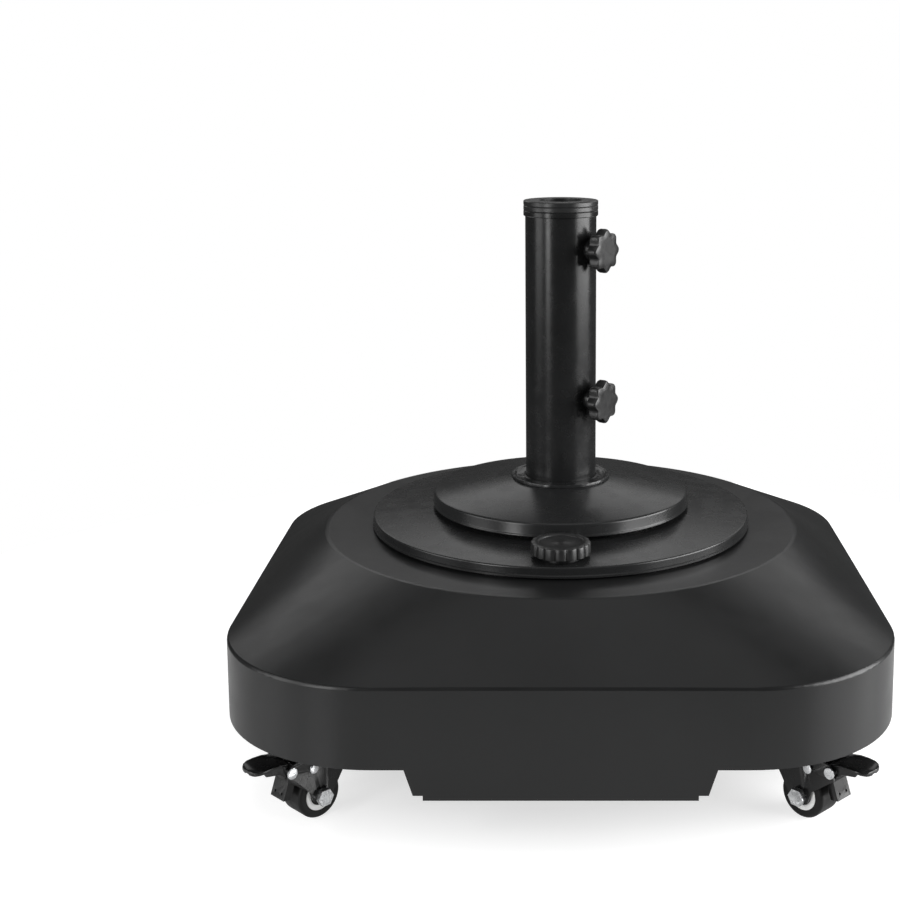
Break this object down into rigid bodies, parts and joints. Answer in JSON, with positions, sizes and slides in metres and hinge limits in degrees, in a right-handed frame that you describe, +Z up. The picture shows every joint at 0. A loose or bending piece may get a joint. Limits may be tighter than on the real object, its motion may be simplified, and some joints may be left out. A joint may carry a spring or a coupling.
{
  "type": "parasol base",
  "caption": "Square water-filled parasol base with a stepped round top, clamp tube with knobs and nested pole sleeves, and braked castors below.",
  "frame": {"origin": "on the floor under the axis of the upright tube", "axes": "+Z up along the upright tube, -Y to the front, where the braked castors and the filler cap are"},
  "size_m": [0.562, 0.562, 0.4885],
  "materials": {
    "tank": "blow-moulded black polyethylene, satin",
    "disc": "moulded black plastic, satin gloss",
    "steel_black": "black powder coat on steel tube",
    "sleeve": "moulded black plastic",
    "knob": "moulded black plastic",
    "zinc": "bright zinc plated steel",
    "bolt_black": "black oxide steel",
    "caster_black": "gloss black enamel on pressed steel",
    "hub": "moulded black plastic",
    "tyre": "black polyurethane tread",
    "ring": "white plastic ring",
    "gasket": "soft rubber"
  },
  "bodies": {
    "tank": {"tank_shell": "tank", "cover_disc": "disc", "foot_plate": "steel_black", "foot_bolts": "zinc", "flange_disc": "disc", "tube_collar": "disc", "upright_tube": "steel_black", "weld_nuts": "steel_black", "filler_neck": "tank", "caster_plate_front_left": "caster_black", "caster_bolts_front_left": "bolt_black", "caster_kingpin_front_left": "zinc", "caster_plate_front_right": "caster_black", "caster_bolts_front_right": "bolt_black", "caster_kingpin_front_right": "zinc", "caster_plate_centre": "caster_black", "caster_bolts_centre": "bolt_black", "caster_kingpin_centre": "zinc", "bracket_rear_left": "caster_black", "caster_bolts_rear_left": "bolt_black", "axle_bolt_rear_left": "zinc", "bracket_rear_right": "caster_black", "caster_bolts_rear_right": "bolt_black", "axle_bolt_rear_right": "zinc"},
    "wide_sleeve": {"wide_sleeve": "sleeve"},
    "narrow_sleeve": {"narrow_sleeve": "sleeve"},
    "stud_upper": {"knob_stud_upper": "zinc"},
    "stud_lower": {"knob_stud_lower": "zinc"},
    "knob_upper": {"knob_head_upper": "knob"},
    "knob_lower": {"knob_head_lower": "knob"},
    "cap_gasket": {"cap_gasket": "gasket"},
    "filler_cap": {"filler_cap": "knob"},
    "swivel_front_left": {"fork_front_left": "caster_black", "axle_bolt_front_left": "zinc", "brake_pins_front_left": "zinc"},
    "swivel_front_right": {"fork_front_right": "caster_black", "axle_bolt_front_right": "zinc", "brake_pins_front_right": "zinc"},
    "swivel_centre": {"fork_centre": "caster_black", "axle_bolt_centre": "zinc"},
    "wheel_front_left": {"wheel_hub_front_left": "hub", "tyre_front_left": "tyre", "wheel_ring_front_left": "ring"},
    "wheel_front_right": {"wheel_hub_front_right": "hub", "tyre_front_right": "tyre", "wheel_ring_front_right": "ring"},
    "wheel_centre": {"wheel_hub_centre": "hub", "tyre_centre": "tyre", "wheel_ring_centre": "ring"},
    "wheel_rear_left": {"wheel_hub_rear_left": "hub", "tyre_rear_left": "tyre", "wheel_ring_rear_left": "ring"},
    "wheel_rear_right": {"wheel_hub_rear_right": "hub", "tyre_rear_right": "tyre", "wheel_ring_rear_right": "ring"},
    "brake_front_left": {"brake_pedal_front_left": "caster_black", "brake_shoe_front_left": "hub"},
    "brake_front_right": {"brake_pedal_front_right": "caster_black", "brake_shoe_front_right": "hub"}
  },
  "joints": [
    {"name": "caster_swivel_front_left", "type": "hinge", "parent": "tank", "child": "swivel_front_left", "pos_m": [-0.1904, -0.1904, 0.06], "axis": [0, 0, 1], "continuous": true},
    {"name": "caster_swivel_front_right", "type": "hinge", "parent": "tank", "child": "swivel_front_right", "pos_m": [0.1904, -0.1904, 0.06], "axis": [0, 0, 1], "continuous": true},
    {"name": "caster_swivel_centre", "type": "hinge", "parent": "tank", "child": "swivel_centre", "pos_m": [0, 0, 0.06], "axis": [0, 0, 1], "continuous": true},
    {"name": "wheel_spin_front_left", "type": "hinge", "parent": "swivel_front_left", "child": "wheel_front_left", "pos_m": [-0.20596, -0.20596, 0.02], "axis": [0.7071, -0.7071, 0], "continuous": true},
    {"name": "wheel_spin_front_right", "type": "hinge", "parent": "swivel_front_right", "child": "wheel_front_right", "pos_m": [0.20596, -0.20596, 0.02], "axis": [0.7071, 0.7071, 0], "continuous": true},
    {"name": "wheel_spin_centre", "type": "hinge", "parent": "swivel_centre", "child": "wheel_centre", "pos_m": [0, 0.022, 0.02], "axis": [-1, 0, 0], "continuous": true},
    {"name": "wheel_spin_rear_left", "type": "hinge", "parent": "tank", "child": "wheel_rear_left", "pos_m": [-0.125, 0.232, 0.02], "axis": [-1, 0, 0], "continuous": true},
    {"name": "wheel_spin_rear_right", "type": "hinge", "parent": "tank", "child": "wheel_rear_right", "pos_m": [0.125, 0.232, 0.02], "axis": [-1, 0, 0], "continuous": true},
    {"name": "brake_pedal_front_left", "type": "hinge", "parent": "swivel_front_left", "child": "brake_front_left", "pos_m": [-0.22646, -0.22646, 0.0495], "axis": [0.7071, -0.7071, 0], "range_deg": [0, 14]},
    {"name": "brake_pedal_front_right", "type": "hinge", "parent": "swivel_front_right", "child": "brake_front_right", "pos_m": [0.22646, -0.22646, 0.0495], "axis": [0.7071, 0.7071, 0], "range_deg": [0, 14]},
    {"name": "wide_sleeve_lift", "type": "slide", "parent": "tank", "child": "wide_sleeve", "axis": [0, 0, 1], "range_m": [0, 0.2]},
    {"name": "narrow_sleeve_lift", "type": "slide", "parent": "wide_sleeve", "child": "narrow_sleeve", "axis": [0, 0, 1], "range_m": [0, 0.2]},
    {"name": "knob_turn_upper", "type": "hinge", "parent": "stud_upper", "child": "knob_upper", "pos_m": [0.03686, -0.02581, 0.445], "axis": [-0.8192, 0.5736, 0], "range_deg": [0, 1260]},
    {"name": "knob_screw_upper", "type": "slide", "parent": "tank", "child": "stud_upper", "axis": [-0.8192, 0.5736, 0], "range_m": [0, 0.0071]},
    {"name": "knob_turn_lower", "type": "hinge", "parent": "stud_lower", "child": "knob_lower", "pos_m": [0.03686, -0.02581, 0.307], "axis": [-0.8192, 0.5736, 0], "range_deg": [0, 1260]},
    {"name": "knob_screw_lower", "type": "slide", "parent": "tank", "child": "stud_lower", "axis": [-0.8192, 0.5736, 0], "range_m": [0, 0.0071]},
    {"name": "filler_cap_lift", "type": "slide", "parent": "tank", "child": "cap_gasket", "axis": [0, 0, 1], "range_m": [0, 0.06]},
    {"name": "filler_cap_turn", "type": "hinge", "parent": "cap_gasket", "child": "filler_cap", "pos_m": [0, -0.1475, 0.207], "axis": [0, 0, 1], "continuous": true}
  ],
  "couplings": [
    {"joint": "knob_screw_upper", "follows": "knob_turn_upper", "m_per_rad": 0.00031831},
    {"joint": "knob_screw_lower", "follows": "knob_turn_lower", "m_per_rad": 0.00031831}
  ]
}
